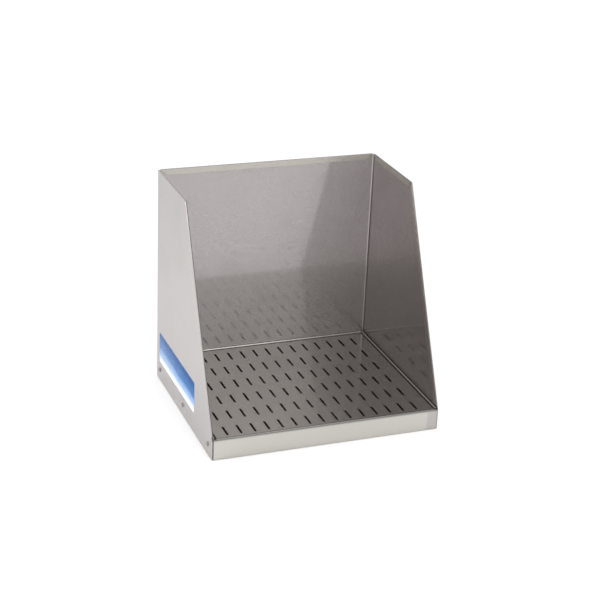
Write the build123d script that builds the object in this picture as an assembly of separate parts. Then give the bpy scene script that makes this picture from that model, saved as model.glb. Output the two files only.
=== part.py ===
from build123d import *
import os
from math import cos, hypot, pi, sqrt

# A stainless steel splash guard station for a counter. A low welded tray carries a slotted lift-out
# grate, and a guard bent from one sheet stands round its back and sides, screwed to the tray.
# Millimetres. The front faces -Y, +Z is up, and the origin is on the counter, under the middle.

# Overall sizes
width = 400.0            # outside of the guard's side panels
depth = 330.0            # front of the apron to the outside of the guard's back
height = 387.0           # counter to the top of the guard
base_height = 38.0       # counter to the top of the grate
top_depth = 166.0        # guard's side panels along their top edge

# Sheets
guard_sheet = 1.2
tray_sheet = 1.2
grate_sheet = 1.5
stiffener_sheet = 1.2
hem_gap = 0.2            # left between the two layers of a closed hem

# Guard
guard_hem = 10.5         # width of its folded top and slanted edges
guard_bend = 3.0         # inside radius of its two upright bends
hem_notch = 0.6          # cut back at each end of a hem
hem_opening = 0.4        # its free edge stands this far off, past its closed seat
hem_rim_gap = 2.0        # lower end of the slanted hem above the tray's rim
counter_gap = 0.8        # guard and apron stay this far above the counter

# Tray
foot_height = 2.0
tray_hem = 9.0
tray_bend = 1.2          # inside radius of its folds and welded corners
tray_hem_gap = 1.2       # the tray's side and rear hems are left open by one sheet
tray_side_gap = 0.8      # guard to the tray's side walls, filled by the screws' spacers
tray_rear_gap = 0.4      # guard to the tray's rear wall
rim_rise = 2.0           # tray rim above the grate
rim_setback = 1.0        # side rims end this far behind the front wall's outside
corner_return = 3.0      # full-height part of the front wall at each end
front_wall_gap = 1.0     # apron to the tray's front wall
crest_gap = 0.3          # tray's front wall to the underside of the grate

# Grate
grate_bend = 1.0         # inside radius
grate_shift = 0.7        # the loose grate lies this far to the right in its clearance
side_gap = 1.7           # tray rim to the grate, each side, with the grate in the middle
rear_gap = 1.4           # tray rim to the grate, behind
apron_end_gap = 1.2      # apron's ends to the inside of the guard, with it in the middle
ear_drop = 0.5           # top of the apron's ears below the top of the grate
corner_relief = 0.6      # width of the slits where two folds meet
side_flange = 12.0
slot_length = 30.0
slot_width = 4.0
slot_columns = 15
slot_rows = 6
slot_side_margin = 25.4  # edge of the grate to the centre of the outer columns
slot_front_margin = 24.4
slot_rear_margin = 31.4
slot_shift = -3.7        # middle of the slot field off the middle of the grate
stiffener_width = 16.0
stiffener_depth = 11.0
stiffener_end_gap = 3.0  # stiffener's ends to the grate's side flanges
stiffened_lands = (1, 3)  # gaps between slot rows, counted from the front, that carry one

# M4 fasteners
screw_height = 20.0      # above the counter
screw_margin = 22.5      # from the front and from the back
screws_per_side = 3
screw_radius = 2.0
screw_length = 10.0
tip_chamfer = 0.4
head_radius = 4.0
head_height = 3.1
head_crown = 8.0         # radius of the head's shallow dome
head_round = 1.2         # radius at the dome's edge
recess_length = 4.2
recess_width = 0.9
recess_depth = 1.6
hole_clearance = 0.25
thread_clearance = 0.05
spacer_radius = 4.5
seal_radius = 5.0
seal_thickness = 1.0
nut_across_flats = 7.0
nut_hex_height = 3.2
nut_height = 8.0
nut_dome_radius = 3.25
nut_bore_depth = 6.0
nut_chamfer = 0.4

# Feet and label
foot_radius = 9.0
foot_inset = 28.0        # tray's walls to the centre of each foot
foot_edge = 0.5
label_length = 210.0
label_height = 55.0
label_rear_margin = 20.0
label_above_counter = 37.0
label_thickness = 0.2
label_corner = 4.0

# Places that follow from the sizes
half_width = width / 2
front = -depth / 2
rear = depth / 2
rim_thickness = 2 * tray_sheet + tray_hem_gap
tray_inset = guard_sheet + tray_side_gap
tray_half = half_width - tray_inset
tray_rear = rear - guard_sheet - tray_rear_gap
tray_front = front + grate_sheet + front_wall_gap
tray_floor_top = foot_height + tray_sheet
rim_top = base_height + rim_rise
front_wall_top = base_height - grate_sheet - crest_gap
grate_half = tray_half - rim_thickness - side_gap
grate_rear = tray_rear - rim_thickness - rear_gap
grate_outer_bend = grate_bend + grate_sheet
apron_half = half_width - guard_sheet - apron_end_gap


def block(x_span, y_span, z_span):
    """A box from its lowest to its highest value along each axis."""
    size = [high - low for low, high in (x_span, y_span, z_span)]
    corner = Pos(x_span[0], y_span[0], z_span[0])
    return corner * Box(*size, align=(Align.MIN, Align.MIN, Align.MIN))


def prism(points, plane, amount):
    """A closed outline on a plane, extruded along the plane's normal."""
    return extrude(plane * make_face(Polyline(*points, close=True)), amount=amount)


def hem(
    start, end, inward, sheet, hem_width,
    gap=hem_gap, start_slope=1.0, end_slope=1.0, opening=0.0,
):
    """A folded hem along a sheet's edge, from start to end on the outer face of the sheet.

    Inward points from that face towards the folded layer, with a gap between the layers. Each end
    is cut back along the edge by its slope times the distance from the fold. Opening lifts the
    free edge of the folded layer.
    """
    along = (Vector(*end) - Vector(*start)).normalized()
    length = (Vector(*end) - Vector(*start)).length
    inward = Vector(*inward)
    across = inward.cross(along)
    fold = sheet + gap / 2
    inner = gap / 2
    lap = 2 * fold
    outline = [
        Line((lap, 0), (fold, 0)),
        ThreePointArc((fold, 0), (0, fold), (fold, 2 * fold)),
        Line((fold, 2 * fold), (hem_width, 2 * fold + opening)),
        Line((hem_width, 2 * fold + opening), (hem_width, sheet + gap + opening)),
        Line((hem_width, sheet + gap + opening), (fold, sheet + gap)),
        ThreePointArc((fold, sheet + gap), (fold - inner, fold), (fold, sheet)),
        Line((fold, sheet), (lap, sheet)),
        Line((lap, sheet), (lap, 0)),
    ]
    section = Plane(origin=start, x_dir=across, z_dir=along) * make_face(Wire(outline))
    strip = extrude(section, amount=length)
    reach = hem_width + 1
    trim = [
        (hem_notch - start_slope, -1),
        (length - hem_notch + end_slope, -1),
        (length - hem_notch - end_slope * reach, reach),
        (hem_notch + start_slope * reach, reach),
    ]
    below = Vector(*start) - inward
    cutter = prism(trim, Plane(origin=below, x_dir=along, z_dir=inward), 2 * fold + opening + 2)
    return strip & cutter


def corner_slope(before, corner, after):
    """Cut-back of two hems that share a mitre at a corner of a flat panel."""
    ax, ay = before[0] - corner[0], before[1] - corner[1]
    bx, by = after[0] - corner[0], after[1] - corner[1]
    cosine = (ax * bx + ay * by) / (hypot(ax, ay) * hypot(bx, by))
    return sqrt((1 + cosine) / (1 - cosine))


def side_outline(inset):
    """Guard's side panel as (y, z) points, with its hemmed edges drawn in by an inset."""
    run = top_depth - depth
    rise = height - base_height
    slant = hypot(run, rise)
    bottom = counter_gap
    top = height - inset
    front_y = front + inset * slant / rise
    knee = base_height - (front - front_y) * rise / run
    top_y = front_y - run * (top - base_height) / rise
    return [(rear, bottom), (front, bottom), (front, knee), (top_y, top), (rear, top)]


def upright_folds(x, y_front, y_rear, radius, z_low, z_high):
    """A block whose two rear upright edges are rounded."""
    body = block((-x, x), (y_front, y_rear), (z_low, z_high))
    return fillet(body.edges().filter_by(Axis.Z).group_by(Axis.Y)[-1], radius)


def guard_side_hems():
    """The two hems of the left side panel."""
    _, _, knee, high_front, high_rear = side_outline(0)
    bend_end = rear - guard_bend - guard_sheet
    x = -half_width
    mitre = corner_slope(knee, high_front, high_rear)
    lean = (high_front[0] - knee[0]) / (high_front[1] - knee[1])
    low_end = rim_top + hem_rim_gap
    end_y = knee[0] + lean * (low_end - knee[1])
    inward = (1, 0, 0)
    top = hem(
        (x, bend_end, height), (x, *high_front), inward, guard_sheet, guard_hem,
        end_slope=mitre, opening=hem_opening,
    )
    slanted = hem(
        (x, *high_front), (x, end_y, low_end), inward, guard_sheet, guard_hem,
        start_slope=mitre, end_slope=lean, opening=hem_opening,
    )
    return [top, slanted]


def splash_guard():
    """Back and two side panels bent from one sheet, hemmed along the top and the slanted edges."""
    fold = guard_sheet + hem_gap / 2
    z_span = (counter_gap, height - fold)
    outer = upright_folds(half_width, front, rear, guard_bend + guard_sheet, *z_span)
    inner_half = half_width - guard_sheet
    inner = upright_folds(inner_half, front - 1, rear - guard_sheet, guard_bend, *z_span)
    side_plane = Plane(origin=(-half_width, 0, 0), x_dir=(0, 1, 0), z_dir=(1, 0, 0))
    sheet = (outer - inner) & prism(side_outline(fold), side_plane, width)
    for strip in guard_side_hems():
        sheet += strip
        sheet += mirror(strip, about=Plane.YZ)
    reach = half_width - guard_bend - guard_sheet
    sheet += hem(
        (reach, rear, height), (-reach, rear, height), (0, -1, 0), guard_sheet, guard_hem,
        opening=hem_opening,
    )
    return drill_sides(sheet)


def screw_places():
    """Distance along Y of each screw."""
    pitch = (depth - 2 * screw_margin) / (screws_per_side - 1)
    return [front + screw_margin + i * pitch for i in range(screws_per_side)]


def screw_planes(side, inset):
    """Planes on a side's screw axes, an inset in from the guard's outside, facing inwards."""
    x = side * (half_width - inset)
    return [
        Plane(origin=(x, y, screw_height), x_dir=(0, 1, 0), z_dir=(-side, 0, 0))
        for y in screw_places()
    ]


def drill_sides(sheet):
    """Screw holes through a part's two sides."""
    for side in (-1, 1):
        for plane in screw_planes(side, -1):
            drill = extrude(plane * Circle(screw_radius + hole_clearance), amount=tray_inset + 5)
            sheet -= drill
    return sheet


def folded_box(x, y_front, y_rear, z_low, z_high, radius):
    """A block with rounded upright and bottom edges."""
    body = block((-x, x), (y_front, y_rear), (z_low, z_high))
    rounded = body.edges().filter_by(Axis.Z) + body.edges().group_by(Axis.Z)[0]
    return fillet(rounded, radius)


def sump_tray():
    """Welded tray: a floor and four walls, each wall ending in a hem folded inwards."""
    wall_top = rim_top - tray_sheet - tray_hem_gap / 2
    outer = folded_box(
        tray_half, tray_front, tray_rear, foot_height, wall_top, tray_bend + tray_sheet
    )
    inner = folded_box(
        tray_half - tray_sheet, tray_front + tray_sheet, tray_rear - tray_sheet,
        tray_floor_top, wall_top + 1, tray_bend,
    )
    tray = outer - inner
    lowered = tray_half - corner_return
    crest = front_wall_top - tray_sheet - hem_gap / 2
    behind = tray_front + tray_bend + tray_sheet
    tray -= block((-lowered, lowered), (front, behind), (crest, rim_top + 1))
    end = rim_thickness + hem_notch
    side = hem(
        (-tray_half, tray_rear - end, rim_top), (-tray_half, tray_front + rim_setback, rim_top),
        (1, 0, 0), tray_sheet, tray_hem, gap=tray_hem_gap, end_slope=0.0,
    )
    back = hem(
        (tray_half - end, tray_rear, rim_top), (-tray_half + end, tray_rear, rim_top),
        (0, -1, 0), tray_sheet, tray_hem, gap=tray_hem_gap,
    )
    face = hem(
        (-tray_half + end, tray_front, front_wall_top), (tray_half - end, tray_front, front_wall_top),
        (0, 1, 0), tray_sheet, tray_hem, start_slope=0.0, end_slope=0.0,
    )
    for strip in (side, mirror(side, about=Plane.YZ), back, face):
        tray += strip
    return drill_sides(tray)


def flange(start, end, outward, depth_down):
    """A fold along the grate's edge: the bend and the leg below it.

    Start and end lie where the flat of the grate ends, on its top face.
    """
    along = (Vector(*end) - Vector(*start)).normalized()
    outward = Vector(*outward)
    plane = Plane(origin=start, x_dir=outward, z_dir=along)
    up = plane.y_dir.Z
    outer, inner = grate_outer_bend, grate_bend
    diagonal = cos(pi / 4)
    centre = -outer

    def at(x, z):
        return (x, up * z)

    outline = [
        Line(at(0, 0), at(0, -grate_sheet)),
        ThreePointArc(
            at(0, -grate_sheet),
            at(inner * diagonal, centre + inner * diagonal),
            at(inner, centre),
        ),
        Line(at(inner, centre), at(inner, -depth_down)),
        Line(at(inner, -depth_down), at(outer, -depth_down)),
        Line(at(outer, -depth_down), at(outer, centre)),
        ThreePointArc(
            at(outer, centre), at(outer * diagonal, centre + outer * diagonal), at(0, 0)
        ),
    ]
    length = (Vector(*end) - Vector(*start)).length
    return extrude(plane * make_face(Wire(outline)), amount=length)


def slot_places():
    """Centre of each slot, and the pitch from row to row."""
    column_pitch = 2 * (grate_half - slot_side_margin) / (slot_columns - 1)
    first_row = front + slot_front_margin
    row_pitch = (grate_rear - slot_rear_margin - first_row) / (slot_rows - 1)
    first_column = slot_shift - grate_half + slot_side_margin
    columns = [first_column + i * column_pitch for i in range(slot_columns)]
    rows = [first_row + i * row_pitch for i in range(slot_rows)]
    return columns, rows, row_pitch


def grate():
    """Slotted sheet, folded down on four sides. The front fold is the apron."""
    flat_half = grate_half - grate_outer_bend
    flat_front = front + grate_outer_bend
    flat_rear = grate_rear - grate_outer_bend
    top = base_height
    z_span = (top - grate_sheet, top)
    full = block((-flat_half, flat_half), (flat_front, flat_rear), z_span)
    shoulder = flat_front + grate_outer_bend
    full += block((-grate_half, grate_half), (flat_front, shoulder), z_span)
    apron_depth = top - counter_gap
    full += flange(
        (-grate_half, flat_front, top), (grate_half, flat_front, top), (0, -1, 0), apron_depth
    )
    full += flange(
        (-flat_half, flat_rear, top), (flat_half, flat_rear, top), (0, 1, 0), top - tray_floor_top
    )
    side_start = shoulder + corner_relief
    left = flange(
        (-flat_half, side_start, top), (-flat_half, flat_rear, top), (-1, 0, 0), side_flange
    )
    full += left
    full += mirror(left, about=Plane.YZ)
    ear = block(
        (grate_half, apron_half), (front, front + grate_sheet), (counter_gap, top - ear_drop)
    )
    slit = block(
        (grate_half, grate_half + corner_relief),
        (front - 1, front + grate_sheet + 1),
        (top - grate_outer_bend - corner_relief, top),
    )
    ear -= slit
    full += ear
    full += mirror(ear, about=Plane.YZ)
    columns, rows, _ = slot_places()
    slot = Rot(0, 0, 90) * SlotOverall(slot_length, slot_width)
    pattern = Sketch() + [Pos(x, y) * slot for x in columns for y in rows]
    return full - extrude(Pos(0, 0, top - grate_sheet - 1) * pattern, amount=grate_sheet + 2)


def stiffener(land):
    """Channel welded under the grate, across the land between two rows of slots."""
    _, rows, row_pitch = slot_places()
    middle = rows[land] + row_pitch / 2
    reach = grate_half - grate_sheet - stiffener_end_gap
    top = base_height - grate_sheet
    edge = stiffener_width / 2
    outer = block((-reach, reach), (middle - edge, middle + edge), (top - stiffener_depth, top))
    outer = fillet(outer.edges().filter_by(Axis.X).group_by(Axis.Z)[-1], 2 * stiffener_sheet)
    inside = edge - stiffener_sheet
    inner = block(
        (-reach - 1, reach + 1),
        (middle - inside, middle + inside),
        (top - stiffener_depth - 1, top - stiffener_sheet),
    )
    inner = fillet(inner.edges().filter_by(Axis.X).group_by(Axis.Z)[-1], stiffener_sheet)
    return outer - inner


def screw():
    """Pan-head screw with a cross recess: its head below the XY plane, its shank above."""
    def crown(radius):
        return head_crown - head_height - sqrt(head_crown**2 - radius**2)

    shoulder = head_radius - head_round
    round_end = crown(shoulder) + head_round
    diagonal = cos(pi / 4) * head_round
    profile = [
        ThreePointArc(
            (0, crown(0)), (shoulder / 2, crown(shoulder / 2)), (shoulder, crown(shoulder))
        ),
        ThreePointArc(
            (shoulder, crown(shoulder)),
            (shoulder + diagonal, round_end - diagonal),
            (head_radius, round_end),
        ),
        Line((head_radius, round_end), (head_radius, 0)),
        Line((head_radius, 0), (screw_radius, 0)),
        Line((screw_radius, 0), (screw_radius, screw_length - tip_chamfer)),
        Line((screw_radius, screw_length - tip_chamfer), (screw_radius - tip_chamfer, screw_length)),
        Line((screw_radius - tip_chamfer, screw_length), (0, screw_length)),
        Line((0, screw_length), (0, -head_height)),
    ]
    body = revolve(Plane.XZ * make_face(Wire(profile)), Axis.Z)
    sink = Pos(0, 0, -head_height) * Box(recess_length, recess_width, 2 * recess_depth)
    return body - sink - Rot(0, 0, 90) * sink


def ring(outer_radius, bore_radius, thickness):
    """A flat washer standing on the XY plane."""
    return extrude(Circle(outer_radius) - Circle(bore_radius), amount=thickness)


def cap_nut():
    """Domed nut, its seat on the XY plane."""
    corner_radius = nut_across_flats / sqrt(3)
    blank = extrude(Circle(corner_radius), amount=nut_hex_height)
    blank = chamfer(blank.edges().group_by(Axis.Z)[-1], nut_chamfer)
    flats = RegularPolygon(nut_across_flats / 2, 6, major_radius=False)
    body = blank & extrude(flats, amount=nut_hex_height)
    neck = nut_height - nut_dome_radius
    body += extrude(Circle(nut_dome_radius), amount=neck)
    body += Pos(0, 0, neck) * Sphere(nut_dome_radius)
    return body - extrude(Circle(screw_radius + thread_clearance), amount=nut_bore_depth)


def group(piece, planes):
    """Copies of one fastener, each on its own plane."""
    return Compound([plane.location * piece for plane in planes])


def foot(side, end):
    """Adhesive rubber pad under a corner of the tray."""
    x = side * (tray_half - foot_inset)
    y = tray_front + foot_inset if end < 0 else tray_rear - foot_inset
    pad = extrude(Circle(foot_radius), amount=foot_height)
    pad = chamfer(pad.edges().group_by(Axis.Z)[0], foot_edge)
    return Pos(x, y, 0) * pad


def side_label():
    """Adhesive label on the outside of the left panel."""
    y = rear - label_rear_margin - label_length / 2
    z = label_above_counter + label_height / 2
    plane = Plane(origin=(-half_width, y, z), x_dir=(0, -1, 0), z_dir=(-1, 0, 0))
    outline = RectangleRounded(label_length, label_height, label_corner)
    return extrude(plane * outline, amount=label_thickness)


def nodes():
    """Every node of the station by name."""
    made = {
        "splash_guard": splash_guard(),
        "sump_tray": sump_tray(),
        "grate": Pos(grate_shift, 0, 0) * grate(),
        "side_label": side_label(),
    }
    for name, land in zip(("stiffener_front", "stiffener_rear"), stiffened_lands):
        made[name] = Pos(grate_shift, 0, 0) * stiffener(land)
    bore = screw_radius + hole_clearance
    spacer = ring(spacer_radius, bore, tray_inset - guard_sheet)
    seal = ring(seal_radius, screw_radius + thread_clearance, seal_thickness)
    seal_seat = tray_inset + tray_sheet
    for side, word in ((-1, "left"), (1, "right")):
        made[f"guard_screws_{word}"] = group(screw(), screw_planes(side, 0))
        made[f"spacers_{word}"] = group(spacer, screw_planes(side, guard_sheet))
        made[f"sealing_washers_{word}"] = group(seal, screw_planes(side, seal_seat))
        made[f"cap_nuts_{word}"] = group(cap_nut(), screw_planes(side, seal_seat + seal_thickness))
        made[f"foot_front_{word}"] = foot(side, -1)
        made[f"foot_rear_{word}"] = foot(side, 1)
    return made


os.makedirs("parts", exist_ok=True)
for node_name, shape in nodes().items():
    export_step(shape, f"parts/{node_name}.step")
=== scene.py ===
from math import cos, pi, radians, sin

import bpy
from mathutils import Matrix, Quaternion, Vector


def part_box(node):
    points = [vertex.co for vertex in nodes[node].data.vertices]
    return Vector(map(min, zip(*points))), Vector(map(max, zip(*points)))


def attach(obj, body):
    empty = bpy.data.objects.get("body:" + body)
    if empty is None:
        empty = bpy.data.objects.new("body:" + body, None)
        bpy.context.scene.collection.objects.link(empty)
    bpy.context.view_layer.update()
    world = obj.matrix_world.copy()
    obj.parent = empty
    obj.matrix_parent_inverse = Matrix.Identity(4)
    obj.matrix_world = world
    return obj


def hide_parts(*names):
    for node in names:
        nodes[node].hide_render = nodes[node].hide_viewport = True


# A stainless steel splash guard station: a welded tray, a slotted grate that lifts out of it, and a
# guard bent from one sheet round its back and sides. Metres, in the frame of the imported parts.

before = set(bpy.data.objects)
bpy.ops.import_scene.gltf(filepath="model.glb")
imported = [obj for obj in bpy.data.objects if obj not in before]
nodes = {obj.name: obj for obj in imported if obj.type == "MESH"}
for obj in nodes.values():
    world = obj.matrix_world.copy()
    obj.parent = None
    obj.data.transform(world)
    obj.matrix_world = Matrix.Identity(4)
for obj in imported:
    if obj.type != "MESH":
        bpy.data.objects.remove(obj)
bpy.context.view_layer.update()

# Camera
aim_point = (0.0028, 0.0057, 0.1937)
camera_distance = 2.6
camera_azimuth = 21.34
camera_elevation = 22.99
camera_roll = 2.504
camera_lens = 92.45

# Light
sky_light = ((0.0, 0.72), (0.25, 1.05), (0.42, 1.2), (0.65, 1.1), (1.0, 0.95))
window_towards = (0.34, -0.85, 0.40)
window_spread = (0.6, 0.97)
window_light = 0.15
lamps = (
    ("overhead_softbox", (0.2, -0.5, 1.1), (0.1, -0.35, 0), 0.8, 3.6),
    ("left_softbox", (-0.9, 0.05, 0.48), (-0.3, 0, 0), 0.4, 2.6),
)
floor_size = 14.0

# Finishing of the sheets
merge_gap = 0.000005
flat_angle = 0.4
smooth_angle = 32.0
small_piece_angle = 40.0
cut_edge = 0.00018
slot_edge = 0.00012
tray_front_corner = -0.155
guard_skin = 0.0001
hem_reach = 0.0033
hem_face = 0.0020
base_height = 0.038
upright_streaks = (1200, 1200, 5000)
level_streaks = (1200, 5000, 5000)
rub_place = (0.019, -0.030)
rub_radius = 0.011

# Screws, feet and label
head_sides = 40
head_steps = ((0.0009, 0.0008), (0.0010, 0.00045), (0.0011, 0.0002))
recess_size = (0.0044, 0.0010)
recess_depth = 0.0017
recess_taper = (1, 0.5, 0.7)
screw_turns = (17.0, 62.0, 38.0)
shank_radius = 0.002
thread_pitch = 0.0007
thread_root = 0.86
thread_tip = 0.8
foot_sides = 64
foot_edge = 0.0006
foot_hollow = ((0.0012, 0), (0.0003, -0.0002), (0.0030, -0.0001), (0.0020, 0))
label_corner = 0.004
label_cut_edge = 0.00006


# Shared tools

def deselect():
    """Leaves nothing selected."""
    bpy.ops.object.select_all(action="DESELECT")


def take_up(piece):
    """Makes a piece the only one selected, and the active one."""
    deselect()
    piece.select_set(True)
    bpy.context.view_layer.objects.active = piece


def start_piece(name):
    """Names the primitive that was just added and opens it for editing."""
    piece = bpy.context.object
    piece.name = name
    piece.data.name = name
    bpy.ops.object.mode_set(mode="EDIT")
    return piece


def close_piece(piece, angle=smooth_angle):
    """Ends editing, with outward faces and its place in its mesh."""
    bpy.ops.mesh.select_all(action="SELECT")
    bpy.ops.mesh.normals_make_consistent(inside=False)
    bpy.ops.object.mode_set(mode="OBJECT")
    take_up(piece)
    bpy.ops.object.transform_apply(location=True, rotation=True, scale=True)
    bpy.ops.object.shade_smooth_by_angle(angle=radians(angle))


def pick_faces(piece, wanted):
    """Selects the faces whose centre and normal pass a test."""
    bpy.ops.mesh.select_mode(type="FACE")
    bpy.ops.mesh.select_all(action="DESELECT")
    bpy.ops.object.mode_set(mode="OBJECT")
    for face in piece.data.polygons:
        face.select = wanted(face.center, face.normal)
    bpy.ops.object.mode_set(mode="EDIT")


def finish_modifier(piece, modifier):
    """Applies a modifier to the only piece selected."""
    take_up(piece)
    bpy.ops.object.modifier_apply(modifier=modifier.name)


def cut_away(piece, cutter):
    """Takes a cutter's shape out of a piece, then removes the cutter."""
    cut = piece.modifiers.new("cut", "BOOLEAN")
    cut.operation = "DIFFERENCE"
    cut.solver = "EXACT"
    cut.object = cutter
    finish_modifier(piece, cut)
    bpy.data.objects.remove(cutter)


def merged_copy(node, name):
    """A copy of a packed sheet, its doubles merged and its flat faces joined up."""
    piece = bpy.data.objects.new(name, nodes[node].data.copy())
    piece.data.name = name
    piece.data.materials.clear()
    bpy.context.scene.collection.objects.link(piece)
    take_up(piece)
    bpy.ops.mesh.customdata_custom_splitnormals_clear()
    bpy.ops.object.mode_set(mode="EDIT")
    bpy.ops.mesh.select_all(action="SELECT")
    bpy.ops.mesh.remove_doubles(threshold=merge_gap)
    bpy.ops.mesh.dissolve_limited(angle_limit=radians(flat_angle))
    bpy.ops.object.mode_set(mode="OBJECT")
    return piece


def mark_cut_edges(piece, from_y):
    """Marks the sharp edges behind a plane for the bevel."""
    take_up(piece)
    bpy.ops.object.mode_set(mode="EDIT")
    bpy.ops.mesh.select_mode(type="EDGE")
    bpy.ops.mesh.select_all(action="DESELECT")
    bpy.ops.mesh.edges_select_sharp(sharpness=radians(smooth_angle))
    bpy.ops.object.mode_set(mode="OBJECT")
    mesh = piece.data
    weights = mesh.attributes.new("bevel_weight_edge", "FLOAT", "EDGE")
    for edge in mesh.edges:
        ends = [mesh.vertices[end].co.y for end in edge.vertices]
        weights.data[edge.index].value = float(edge.select and max(ends) > from_y)


def ease_edges(piece, width, from_y=-1.0):
    """Breaks a sheet's cut edges and shades its bends smooth."""
    mark_cut_edges(piece, from_y)
    bevel = piece.modifiers.new("broken edges", "BEVEL")
    bevel.limit_method = "WEIGHT"
    bevel.width = width
    bevel.segments = 2
    bevel.use_clamp_overlap = False
    bevel.miter_outer = "MITER_ARC"
    bevel.face_strength_mode = "FSTR_ALL"
    finish_modifier(piece, bevel)
    bpy.ops.object.shade_smooth_by_angle(angle=radians(smooth_angle))
    weighted = piece.modifiers.new("flat faces", "WEIGHTED_NORMAL")
    weighted.keep_sharp = True
    weighted.use_face_influence = True
    finish_modifier(piece, weighted)


def copy_at(piece, name, place, turn):
    """A copy with its own mesh, turned and moved to its place."""
    copy = bpy.data.objects.new(name, piece.data.copy())
    copy.data.name = name
    bpy.context.scene.collection.objects.link(copy)
    copy.rotation_euler = turn
    copy.location = place
    take_up(copy)
    bpy.ops.object.transform_apply(location=True, rotation=True, scale=True)
    return copy


def join_pieces(pieces, name):
    """Several pieces made one."""
    take_up(pieces[0])
    for piece in pieces[1:]:
        piece.select_set(True)
    bpy.ops.object.join()
    joined = bpy.context.object
    joined.name = name
    joined.data.name = name
    return joined


def stand_for(piece, node, body):
    """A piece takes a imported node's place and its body."""
    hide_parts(node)
    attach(piece, body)


# Shader node groups

def new_group(name, inputs, outputs):
    """An empty shader node group with float and vector inputs and float outputs."""
    group = bpy.data.node_groups.new(name, "ShaderNodeTree")
    for label, kind, value in inputs:
        socket = group.interface.new_socket(label, in_out="INPUT", socket_type=kind)
        if value is not None:
            socket.default_value = value
    for label in outputs:
        group.interface.new_socket(label, in_out="OUTPUT", socket_type="NodeSocketFloat")
    enter = group.nodes.new("NodeGroupInput")
    leave = group.nodes.new("NodeGroupOutput")
    enter.location = (-900, 0)
    leave.location = (600, 0)
    return group, enter, leave


def math_node(tree, operation, first, second, place, third=None):
    """A Math node whose inputs are sockets or plain values."""
    node = tree.nodes.new("ShaderNodeMath")
    node.operation = operation
    node.location = place
    for socket, value in zip(node.inputs, (first, second, third)):
        if hasattr(value, "is_output"):
            tree.links.new(value, socket)
        elif value is not None:
            socket.default_value = value
    return node.outputs[0]


def ramp_node(tree, value, low, high, place, smooth=True):
    """Maps a range of values to 0 to 1."""
    node = tree.nodes.new("ShaderNodeMapRange")
    node.interpolation_type = "SMOOTHSTEP" if smooth else "LINEAR"
    node.location = place
    tree.links.new(value, node.inputs["Value"])
    node.inputs["From Min"].default_value = low
    node.inputs["From Max"].default_value = high
    return node.outputs["Result"]


def noise_node(tree, vector, scale, detail, place):
    """A noise pattern."""
    node = tree.nodes.new("ShaderNodeTexNoise")
    node.location = place
    node.inputs["Scale"].default_value = scale
    node.inputs["Detail"].default_value = detail
    tree.links.new(vector, node.inputs["Vector"])
    return node.outputs["Fac"]


def stretch_node(tree, vector, amounts, place):
    """Stretches a pattern along the axes."""
    node = tree.nodes.new("ShaderNodeVectorMath")
    node.operation = "MULTIPLY"
    node.location = place
    tree.links.new(vector, node.inputs[0])
    if hasattr(amounts, "is_output"):
        tree.links.new(amounts, node.inputs[1])
    else:
        node.inputs[1].default_value = amounts
    return node.outputs[0]


def rolling_grain_group():
    """Fine streaks left by rolling the sheet, and the slow waves in its flatness.

    Grain runs from 0 on the rolled-flat streaks to 1 in the matt ones between them."""
    inputs = [
        ("Vector", "NodeSocketVector", None),
        ("Stretch", "NodeSocketVector", (60.0, 60.0, 2400.0)),
    ]
    group, enter, leave = new_group("rolling_grain", inputs, ("Grain", "Wave"))
    vector = enter.outputs["Vector"]
    stretched = stretch_node(group, vector, enter.outputs["Stretch"], (-700, 100))
    fine = noise_node(group, stretched, 1.0, 2.0, (-500, 100))
    grain = ramp_node(group, fine, 0.43, 0.52, (-250, 100), smooth=False)
    wave = noise_node(group, vector, 7.0, 1.0, (-500, -200))
    group.links.new(grain, leave.inputs["Grain"])
    group.links.new(wave, leave.inputs["Wave"])
    return group


def handling_group():
    """Dull smears from wiping and hands, and short thin scratches."""
    inputs = [
        ("Vector", "NodeSocketVector", None),
        ("Smear Size", "NodeSocketFloat", 14.0),
        ("Scratch Size", "NodeSocketFloat", 60.0),
    ]
    group, enter, leave = new_group("handling", inputs, ("Smear", "Scratch"))
    vector = enter.outputs["Vector"]
    smear = group.nodes.new("ShaderNodeTexNoise")
    smear.location = (-500, 200)
    smear.inputs["Detail"].default_value = 3.0
    smear.inputs["Distortion"].default_value = 0.6
    group.links.new(vector, smear.inputs["Vector"])
    group.links.new(enter.outputs["Smear Size"], smear.inputs["Scale"])
    soft = ramp_node(group, smear.outputs["Fac"], 0.42, 0.72, (-250, 200))
    turned = stretch_node(group, vector, (1.0, 0.16, 0.35), (-700, -100))
    cells = group.nodes.new("ShaderNodeTexVoronoi")
    cells.feature = "DISTANCE_TO_EDGE"
    cells.location = (-500, -100)
    group.links.new(turned, cells.inputs["Vector"])
    group.links.new(enter.outputs["Scratch Size"], cells.inputs["Scale"])
    line = ramp_node(group, cells.outputs["Distance"], 0.012, 0.002, (-250, -100))
    patches = noise_node(group, vector, 22.0, 1.0, (-500, -350))
    patch = ramp_node(group, patches, 0.56, 0.66, (-250, -350))
    scratch = math_node(group, "MULTIPLY", line, patch, (50, -150))
    group.links.new(soft, leave.inputs["Smear"])
    group.links.new(scratch, leave.inputs["Scratch"])
    return group


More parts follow.
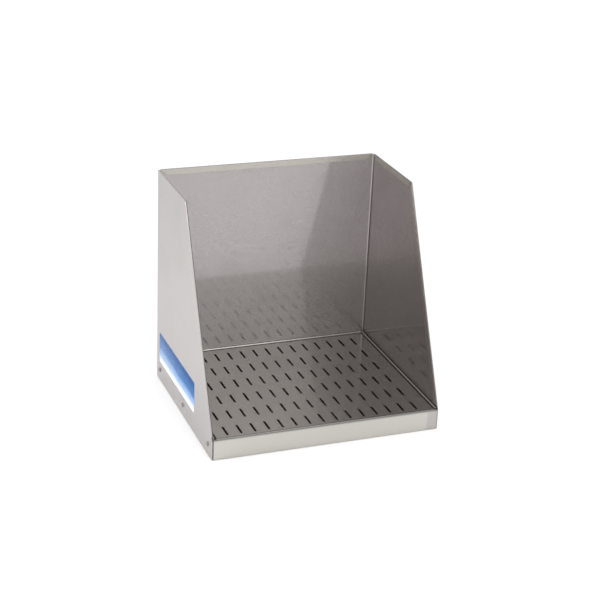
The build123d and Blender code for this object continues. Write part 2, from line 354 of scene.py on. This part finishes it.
def round_mark_group():
    """One soft round mark: 1 in its middle, 0 past its radius."""
    inputs = [
        ("Vector", "NodeSocketVector", None),
        ("Centre", "NodeSocketVector", (0.0, 0.0, 0.0)),
        ("Radius", "NodeSocketFloat", 0.01),
    ]
    group, enter, leave = new_group("round_mark", inputs, ("Mark",))
    reach = group.nodes.new("ShaderNodeVectorMath")
    reach.operation = "DISTANCE"
    reach.location = (-600, 0)
    group.links.new(enter.outputs["Vector"], reach.inputs[0])
    group.links.new(enter.outputs["Centre"], reach.inputs[1])
    share = math_node(
        group, "DIVIDE", reach.outputs["Value"], enter.outputs["Radius"], (-350, 0)
    )
    mark = ramp_node(group, share, 1.0, 0.25, (-100, 0))
    group.links.new(mark, leave.inputs["Mark"])
    return group


rolling_grain = rolling_grain_group()
handling = handling_group()
round_mark = round_mark_group()


# Materials

def new_material(name, colour, roughness, metallic=0.0):
    """A material with its Principled shader and the piece's own Object coordinates."""
    material = bpy.data.materials.new(name)
    material.use_nodes = True
    material.diffuse_color = (*colour, 1)
    tree = material.node_tree
    shader = tree.nodes["Principled BSDF"]
    shader.inputs["Base Color"].default_value = (*colour, 1)
    shader.inputs["Roughness"].default_value = roughness
    shader.inputs["Metallic"].default_value = metallic
    place = tree.nodes.new("ShaderNodeTexCoord")
    place.location = (-1500, 0)
    return material, tree, shader, place.outputs["Object"]


def use_group(tree, group, vector, place, **values):
    """A shared node group in a material, with its own values."""
    node = tree.nodes.new("ShaderNodeGroup")
    node.node_tree = group
    node.location = place
    tree.links.new(vector, node.inputs["Vector"])
    for label, value in values.items():
        node.inputs[label.replace("_", " ")].default_value = value
    return node.outputs


def mix_colours(tree, share, first, second, place):
    """Mixes two colours by a share. Each is a colour or a socket."""
    node = tree.nodes.new("ShaderNodeMix")
    node.data_type = "RGBA"
    node.location = place
    sockets = [s for s in node.inputs if s.type == "RGBA"]
    for socket, value in zip(sockets, (first, second)):
        if hasattr(value, "is_output"):
            tree.links.new(value, socket)
        else:
            socket.default_value = (*value, 1)
    tree.links.new(share, node.inputs["Factor"])
    return [s for s in node.outputs if s.type == "RGBA"][0]


def add_bumps(tree, shader, layers):
    """Chains bumps of (height, distance, strength) into the shader's normal."""
    normal = None
    for step, (height, distance, strength) in enumerate(layers):
        bump = tree.nodes.new("ShaderNodeBump")
        bump.location = (-500 + 200 * step, -500)
        bump.inputs["Distance"].default_value = distance
        bump.inputs["Strength"].default_value = strength
        tree.links.new(height, bump.inputs["Height"])
        if normal is not None:
            tree.links.new(normal, bump.inputs["Normal"])
        normal = bump.outputs["Normal"]
    tree.links.new(normal, shader.inputs["Normal"])


def rolled_steel(name, tone, dull_tone, flat, matt, stretch, smear_size=14.0):
    """Cold rolled stainless sheet: flat and matt rolling streaks, smears and a few scratches."""
    material, tree, shader, vector = new_material(name, tone, (flat + matt) / 2, 1.0)
    grain = use_group(tree, rolling_grain, vector, (-1200, 300), Stretch=stretch)
    wear = use_group(tree, handling, vector, (-1200, 0), Smear_Size=smear_size)
    colour = mix_colours(tree, wear["Smear"], tone, dull_tone, (-700, 300))
    tree.links.new(colour, shader.inputs["Base Color"])
    streaks = math_node(tree, "MULTIPLY_ADD", grain["Grain"], matt - flat, (-900, 0), flat)
    smeared = math_node(tree, "MULTIPLY_ADD", wear["Smear"], 0.03, (-700, 0), streaks)
    scratched = math_node(tree, "MULTIPLY_ADD", wear["Scratch"], 0.12, (-500, 0), smeared)
    tree.links.new(scratched, shader.inputs["Roughness"])
    layers = [
        (grain["Wave"], 0.0004, 0.5),
        (wear["Scratch"], -0.00001, 0.3),
    ]
    add_bumps(tree, shader, layers)
    return material, tree, shader, vector


def clear_at_a_slant(tree, shader):
    """Matt streaks mirror more clearly when they are seen at a slant."""
    slant = tree.nodes.new("ShaderNodeLayerWeight")
    slant.location = (-900, -800)
    slant.inputs["Blend"].default_value = 0.5
    clearing = ramp_node(tree, slant.outputs["Facing"], 0.35, 0.70, (-700, -800))
    kept = math_node(tree, "MULTIPLY_ADD", clearing, -0.5, (-500, -800), 1.0)
    rough = shader.inputs["Roughness"].links[0].from_socket
    cleared = math_node(tree, "MULTIPLY", rough, kept, (-300, -700))
    tree.links.new(cleared, shader.inputs["Roughness"])


def guard_inner_steel():
    """Inside of the guard: the smoother face of the sheet, with a cool cast."""
    material, tree, shader, vector = rolled_steel(
        "guard_inner_steel", (0.435, 0.407, 0.404), (0.420, 0.393, 0.390),
        0.07, 0.54, upright_streaks,
    )
    clear_at_a_slant(tree, shader)
    return material


def guard_outer_steel():
    """Outside of the guard: the duller, lighter face of the sheet."""
    return rolled_steel(
        "guard_outer_steel", (0.470, 0.443, 0.434), (0.458, 0.432, 0.422),
        0.2, 0.45, upright_streaks,
    )[0]


def guard_hem_steel():
    """Face of the folded hems: the outer face of the sheet, with a warm cast from the press."""
    return rolled_steel(
        "guard_hem_steel", (0.500, 0.476, 0.436), (0.482, 0.459, 0.420),
        0.2, 0.45, upright_streaks,
    )[0]


def guard_fold_shaded_steel():
    """Outside of the hems' folds: smoother, and painted much darker as painted shade for the dark line
    along the folds.
    """
    return rolled_steel(
        "guard_fold_shaded_steel", (0.200, 0.190, 0.178), (0.180, 0.171, 0.160),
        0.10, 0.25, upright_streaks,
    )[0]


def tray_steel():
    """Tray and its rim: the sheet as it comes, a little smeared."""
    return rolled_steel(
        "tray_steel", (0.430, 0.412, 0.392), (0.400, 0.385, 0.370),
        0.2, 0.45, level_streaks, 20.0,
    )[0]


def grate_steel():
    """Grate: its apron painted lighter than its top as a painted reflection of the bright floor in
    front of it, darker near its right end, and a painted shade darkening its bend.
    """
    top_tone = (0.420, 0.405, 0.385)
    apron_lit_tone = (0.515, 0.492, 0.463)
    material, tree, shader, vector = rolled_steel(
        "grate_steel", top_tone, (0.395, 0.383, 0.362),
        0.12, 0.4, level_streaks, 18.0,
    )
    clear_at_a_slant(tree, shader)
    low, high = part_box("grate")
    axes = tree.nodes.new("ShaderNodeSeparateXYZ")
    axes.location = (-1200, 600)
    tree.links.new(vector, axes.inputs[0])
    # Painted light: the apron takes a lighter tone than the top, standing in for the bright floor it
    # mirrors.
    apron = ramp_node(tree, axes.outputs["Y"], low.y + 0.0022, low.y + 0.0008, (-900, 700))
    # Near its right end the apron turns darker.
    ends = ramp_node(tree, axes.outputs["X"], high.x - 0.020, high.x - 0.015, (-900, 950))
    top_colour = shader.inputs["Base Color"].links[0].from_socket
    lit_apron = mix_colours(tree, ends, apron_lit_tone, (0.428, 0.411, 0.400), (-600, 800))
    face = mix_colours(tree, apron, top_colour, lit_apron, (-400, 500))
    # Painted shade: a dark band along the bend between top and apron, standing in for the darker
    # reflection there.
    near_top = ramp_node(tree, axes.outputs["Z"], high.z - 0.0055, high.z - 0.001, (-900, 1400))
    near_front = ramp_node(tree, axes.outputs["Y"], low.y + 0.0045, low.y + 0.0025, (-900, 1600))
    bend_shade = math_node(tree, "MULTIPLY", near_top, near_front, (-600, 1500))
    colour = mix_colours(tree, bend_shade, face, (0.170, 0.162, 0.152), (-300, 700))
    rub = use_group(
        tree, round_mark, vector, (-700, 1200),
        Centre=(*rub_place, high.z), Radius=rub_radius,
    )
    rubbed = mix_colours(tree, rub["Mark"], colour, (0.52, 0.50, 0.46), (-200, 600))
    tree.links.new(rubbed, shader.inputs["Base Color"])
    return material


def cut_steel():
    """Fasteners: bright drawn steel with fine turning marks."""
    material, tree, shader, vector = new_material("fastener_steel", (0.42, 0.40, 0.37), 0.2, 1.0)
    wear = use_group(tree, handling, vector, (-1200, 0), Smear_Size=300.0, Scratch_Size=900.0)
    colour = mix_colours(tree, wear["Smear"], (0.42, 0.40, 0.375), (0.30, 0.285, 0.27), (-700, 300))
    tree.links.new(colour, shader.inputs["Base Color"])
    rough = math_node(tree, "MULTIPLY_ADD", wear["Smear"], 0.14, (-500, 0), 0.14)
    tree.links.new(rough, shader.inputs["Roughness"])
    add_bumps(tree, shader, [(wear["Scratch"], -0.00001, 0.4)])
    return material


def moulded(name, colour, worn_colour, roughness, grain_scale, grain_depth):
    """Moulded rubber or plastic: a fine pebbled skin and slight changes of tone."""
    material, tree, shader, vector = new_material(name, colour, roughness)
    pebbles = noise_node(tree, vector, grain_scale, 4.0, (-1200, 200))
    tone = noise_node(tree, vector, grain_scale / 20, 2.0, (-1200, -100))
    share = ramp_node(tree, tone, 0.35, 0.7, (-900, -100))
    tree.links.new(
        mix_colours(tree, share, colour, worn_colour, (-600, 200)), shader.inputs["Base Color"]
    )
    rough = math_node(tree, "MULTIPLY_ADD", pebbles, 0.2, (-500, 0), roughness - 0.1)
    tree.links.new(rough, shader.inputs["Roughness"])
    add_bumps(tree, shader, [(pebbles, grain_depth, 0.6)])
    return material


def label_film():
    """Printed film: dark blue at the top, fading through light blue to white."""
    material, tree, shader, vector = new_material("label_film", (0.2, 0.42, 0.72), 0.3)
    shader.inputs["Specular IOR Level"].default_value = 0.15
    low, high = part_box("side_label")
    axes = tree.nodes.new("ShaderNodeSeparateXYZ")
    axes.location = (-1200, 0)
    tree.links.new(vector, axes.inputs[0])
    height = ramp_node(tree, axes.outputs["Z"], low.z, high.z, (-1000, 0), smooth=False)
    drift = noise_node(tree, vector, 18.0, 2.0, (-1000, -300))
    shifted = math_node(tree, "MULTIPLY_ADD", drift, 0.08, (-800, 0), height)
    fade = tree.nodes.new("ShaderNodeValToRGB")
    fade.location = (-600, 0)
    fade.color_ramp.interpolation = "EASE"
    stops = fade.color_ramp.elements
    stops[0].position = 0.12
    stops[0].color = (0.86, 0.89, 0.93, 1)
    stops[1].position = 1.0
    stops[1].color = (0.006, 0.070, 0.230, 1)
    middle = stops.new(0.36)
    middle.color = (0.24, 0.40, 0.68, 1)
    upper = stops.new(0.62)
    upper.color = (0.020, 0.125, 0.350, 1)
    tree.links.new(shifted, fade.inputs["Fac"])
    tree.links.new(fade.outputs["Color"], shader.inputs["Base Color"])
    wear = use_group(tree, handling, vector, (-1200, -600), Smear_Size=40.0)
    rough = math_node(tree, "MULTIPLY_ADD", wear["Smear"], 0.12, (-500, -300), 0.24)
    tree.links.new(rough, shader.inputs["Roughness"])
    add_bumps(tree, shader, [(drift, 0.0002, 0.3)])
    return material


def floor_paper():
    """Plain pale paper under the station."""
    material, tree, shader, vector = new_material("floor_paper", (0.94, 0.94, 0.94), 0.9)
    shader.inputs["Specular IOR Level"].default_value = 0.0
    return material


# Pieces

def make_guard():
    """The bent guard. Its outside and its folded hems show the other face of the sheet."""
    guard = merged_copy("splash_guard", "guard_sheet")
    guard.data.materials.append(guard_inner_steel())
    guard.data.materials.append(guard_outer_steel())
    guard.data.materials.append(guard_hem_steel())
    guard.data.materials.append(guard_fold_shaded_steel())
    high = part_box("splash_guard")[1]
    inner, outer, hem, fold = range(4)

    def finish_of(centre, normal):
        outside = high.x - abs(centre.x)
        behind = high.y - centre.y
        outwards = normal.x * (1 if centre.x > 0 else -1)
        # Upward faces of the hems get the fold finish, painted dark as shade along the folds.
        if normal.z > 0.25 and centre.z > base_height:
            if behind < hem_reach or outwards < 0.35:
                return fold
        if outside < guard_skin or behind < guard_skin:
            return outer
        if outwards > 0.05 and centre.y > 0 or normal.y > 0.05:
            return outer
        if outwards < -0.9 and hem_face < outside < hem_reach:
            return hem
        if normal.y < -0.9 and hem_face < behind < hem_reach:
            return hem
        return inner

    for face in guard.data.polygons:
        face.material_index = finish_of(face.center, face.normal)
    ease_edges(guard, cut_edge)
    stand_for(guard, "splash_guard", "station")


def make_sheet(node, name, material, body, width=cut_edge, from_y=-1.0):
    """A folded sheet with broken edges."""
    sheet = merged_copy(node, name)
    sheet.data.materials.append(material)
    ease_edges(sheet, width, from_y)
    stand_for(sheet, node, body)


def screw_body(name):
    """Pan-head screw lying along X: seat at the origin, head towards -X, shank towards +X."""
    low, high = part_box("guard_screws_left")
    head_radius = (high.z - low.z) / 2
    head_rise = -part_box("splash_guard")[0].x
    head_height = -low.x - head_rise
    straight = head_height - sum(step[1] for step in head_steps)
    deselect()
    bpy.ops.mesh.primitive_cylinder_add(
        vertices=head_sides, radius=head_radius, depth=straight,
        location=(-straight / 2, 0, 0), rotation=(0, pi / 2, 0),
    )
    bpy.ops.object.transform_apply(location=True, rotation=True, scale=True)
    screw = start_piece(name)
    pick_faces(screw, lambda centre, normal: normal.x < -0.9)
    for inset, rise in head_steps:
        bpy.ops.mesh.inset(thickness=inset, depth=rise, use_even_offset=False)
    pick_faces(screw, lambda centre, normal: normal.x > 0.9)
    bpy.ops.mesh.inset(thickness=head_radius - shank_radius, depth=0)
    length = high.x - low.x - head_height
    turns = int(length / thread_pitch)
    for turn in range(turns):
        advance_end(thread_pitch / 2, thread_root)
        advance_end(thread_pitch / 2, 1 / thread_root)
    advance_end(length - turns * thread_pitch, thread_tip)
    close_piece(screw, small_piece_angle)
    return screw


def advance_end(distance, scale):
    """Extrudes the selected end face along X and scales it."""
    bpy.ops.mesh.extrude_region_move(TRANSFORM_OT_translate={"value": (distance, 0, 0)})
    bpy.ops.transform.resize(value=(1, scale, scale))


def recess_cutter(angle, top):
    """One arm of the cross recess, narrower at its bottom."""
    length, width = recess_size
    deselect()
    bpy.ops.mesh.primitive_cube_add(size=1, location=(top, 0, 0))
    cutter = bpy.context.object
    cutter.scale = (2 * recess_depth, length, width)
    bpy.ops.object.transform_apply(location=True, rotation=True, scale=True)
    bpy.ops.object.mode_set(mode="EDIT")
    pick_faces(cutter, lambda centre, normal: normal.x > 0.9)
    bpy.ops.transform.resize(value=recess_taper)
    bpy.ops.object.mode_set(mode="OBJECT")
    cutter.rotation_euler = (angle, 0, 0)
    bpy.ops.object.transform_apply(location=True, rotation=True, scale=True)
    return cutter


def make_screws(material):
    """Three screws a side, each left at its own angle."""
    low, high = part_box("guard_screws_left")
    guard_low, guard_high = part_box("splash_guard")
    screw = screw_body("screw")
    top = low.x - guard_low.x
    cut_away(screw, recess_cutter(0, top))
    cut_away(screw, recess_cutter(pi / 2, top))
    screw.data.materials.clear()
    screw.data.materials.append(material)
    radius = (high.z - low.z) / 2
    middle = (low.z + high.z) / 2
    rows = (low.y + radius, (low.y + high.y) / 2, high.y - radius)
    for word, x, heading in (("left", guard_low.x, 0), ("right", guard_high.x, pi)):
        copies = []
        for row, turn in zip(rows, screw_turns):
            place = Vector((x, row, middle))
            angle = (radians(turn), 0, heading)
            copies.append(copy_at(screw, "screw_" + word, place, angle))
        screws = join_pieces(copies, "screws_" + word)
        stand_for(screws, "guard_screws_" + word, "station")
    bpy.data.objects.remove(screw)


def make_foot(node, name, material):
    """Rubber pad with a rounded edge and a hollowed underside."""
    low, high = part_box(node)
    radius = (high.x - low.x) / 2
    middle = (low + high) / 2
    deselect()
    bpy.ops.mesh.primitive_cylinder_add(
        vertices=foot_sides, radius=radius, depth=high.z - low.z, location=middle
    )
    bpy.ops.object.transform_apply(location=True, rotation=True, scale=True)
    foot = start_piece(name)
    pick_faces(foot, lambda centre, normal: normal.z < -0.9)
    bpy.ops.mesh.bevel(offset=foot_edge, segments=4, affect="EDGES")
    pick_faces(foot, lambda centre, normal: normal.z < -0.999)
    for inset, sink in foot_hollow:
        bpy.ops.mesh.inset(thickness=inset, depth=sink)
    close_piece(foot, small_piece_angle)
    foot.data.materials.clear()
    foot.data.materials.append(material)
    stand_for(foot, node, "station")


def make_label(material):
    """Film with round corners, its cut edge slightly rounded."""
    low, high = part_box("side_label")
    middle = (low + high) / 2
    deselect()
    bpy.ops.mesh.primitive_plane_add(size=1, location=(high.x, middle.y, middle.z))
    label = bpy.context.object
    label.rotation_euler = (0, -pi / 2, 0)
    label.scale = (high.z - low.z, high.y - low.y, 1)
    bpy.ops.object.transform_apply(location=True, rotation=True, scale=True)
    start_piece("label_film")
    bpy.ops.mesh.select_all(action="SELECT")
    bpy.ops.mesh.bevel(offset=label_corner, segments=6, affect="VERTICES")
    bpy.ops.mesh.select_all(action="SELECT")
    bpy.ops.mesh.extrude_region_move(
        TRANSFORM_OT_translate={"value": (low.x - high.x, 0, 0)}
    )
    pick_faces(label, lambda centre, normal: centre.x < low.x + 0.00001)
    bpy.ops.mesh.bevel(offset=label_cut_edge, segments=2, affect="EDGES")
    close_piece(label, small_piece_angle)
    label.data.materials.clear()
    label.data.materials.append(material)
    stand_for(label, "side_label", "station")


def dress_node(node, material):
    """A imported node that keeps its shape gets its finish."""
    nodes[node].data.materials.clear()
    nodes[node].data.materials.append(material)


# Stage

def place_camera():
    """The camera, turned about its own axis by the small roll."""
    azimuth = radians(camera_azimuth)
    elevation = radians(camera_elevation)
    towards = Vector((sin(azimuth) * cos(elevation), cos(azimuth) * cos(elevation), -sin(elevation)))
    camera = bpy.data.objects.new("camera", bpy.data.cameras.new("camera"))
    camera.location = Vector(aim_point) - towards * camera_distance
    roll = Quaternion((0, 0, 1), radians(camera_roll))
    camera.rotation_mode = "QUATERNION"
    camera.rotation_quaternion = towards.to_track_quat("-Z", "Y") @ roll
    camera.data.lens = camera_lens
    camera.data.sensor_width = 36
    camera.data.clip_start = 0.05
    camera.data.clip_end = 50
    bpy.context.scene.collection.objects.link(camera)
    bpy.context.scene.camera = camera


def light_studio():
    """A white room, dimmest underneath, with a faint window in front and two softboxes."""
    world = bpy.data.worlds.new("studio")
    world.use_nodes = True
    bpy.context.scene.world = world
    tree = world.node_tree
    background = tree.nodes["Background"]
    direction = tree.nodes.new("ShaderNodeTexCoord")
    axes = tree.nodes.new("ShaderNodeSeparateXYZ")
    rise = tree.nodes.new("ShaderNodeValToRGB")
    rise.color_ramp.interpolation = "EASE"
    stops = rise.color_ramp.elements
    while len(stops) < len(sky_light):
        stops.new(0.5)
    for stop, (height, light) in zip(stops, sky_light):
        stop.position = height
        stop.color = (light, light, light, 1)
    tree.links.new(direction.outputs["Generated"], axes.inputs[0])
    tree.links.new(axes.outputs["Z"], rise.inputs["Fac"])
    tree.links.new(rise.outputs["Color"], background.inputs["Color"])
    facing = tree.nodes.new("ShaderNodeVectorMath")
    facing.operation = "DOT_PRODUCT"
    facing.inputs[1].default_value = Vector(window_towards).normalized()
    tree.links.new(direction.outputs["Generated"], facing.inputs[0])
    glow = tree.nodes.new("ShaderNodeMapRange")
    glow.interpolation_type = "SMOOTHSTEP"
    glow.inputs["From Min"].default_value = window_spread[0]
    glow.inputs["From Max"].default_value = window_spread[1]
    glow.inputs["To Min"].default_value = 1.0
    glow.inputs["To Max"].default_value = 1.0 + window_light
    tree.links.new(facing.outputs["Value"], glow.inputs["Value"])
    tree.links.new(glow.outputs["Result"], background.inputs["Strength"])
    for name, place, target, size, power in lamps:
        hang_softbox(name, Vector(place), Vector(target), size, power)


def hang_softbox(name, place, target, size, power):
    """A round softbox pointed at a target."""
    softbox = bpy.data.lights.new(name, "AREA")
    softbox.shape = "DISK"
    softbox.size = size
    softbox.energy = power
    lamp = bpy.data.objects.new(name, softbox)
    lamp.location = place
    lamp.rotation_euler = (target - place).to_track_quat("-Z", "Y").to_euler()
    bpy.context.scene.collection.objects.link(lamp)


def lay_floor():
    """A wide pale floor."""
    deselect()
    bpy.ops.mesh.primitive_plane_add(size=floor_size, location=(0, 0, 0))
    floor = bpy.context.object
    floor.name = "floor"
    floor.data.materials.append(floor_paper())


place_camera()
light_studio()
lay_floor()

make_guard()
make_sheet("sump_tray", "tray_sheet", tray_steel(), "station", from_y=tray_front_corner)
grate_finish = grate_steel()
make_sheet("grate", "grate_sheet", grate_finish, "grate", slot_edge)
make_sheet("stiffener_front", "front_stiffener", grate_finish, "grate")
make_sheet("stiffener_rear", "rear_stiffener", grate_finish, "grate")
fastener_steel = cut_steel()
make_screws(fastener_steel)
foot_rubber = moulded("foot_rubber", (0.035, 0.035, 0.036), (0.060, 0.059, 0.058), 0.75, 1400, 0.00006)
seal_rubber = moulded("seal_rubber", (0.020, 0.020, 0.020), (0.032, 0.032, 0.032), 0.6, 1800, 0.00004)
spacer_nylon = moulded("spacer_nylon", (0.68, 0.66, 0.61), (0.60, 0.58, 0.53), 0.5, 900, 0.00003)
for side in ("left", "right"):
    dress_node("cap_nuts_" + side, fastener_steel)
    dress_node("spacers_" + side, spacer_nylon)
    dress_node("sealing_washers_" + side, seal_rubber)
    for end in ("front", "rear"):
        make_foot(f"foot_{end}_{side}", f"pad_{end}_{side}", foot_rubber)
make_label(label_film())

bpy.context.scene.view_settings.view_transform = "Standard"
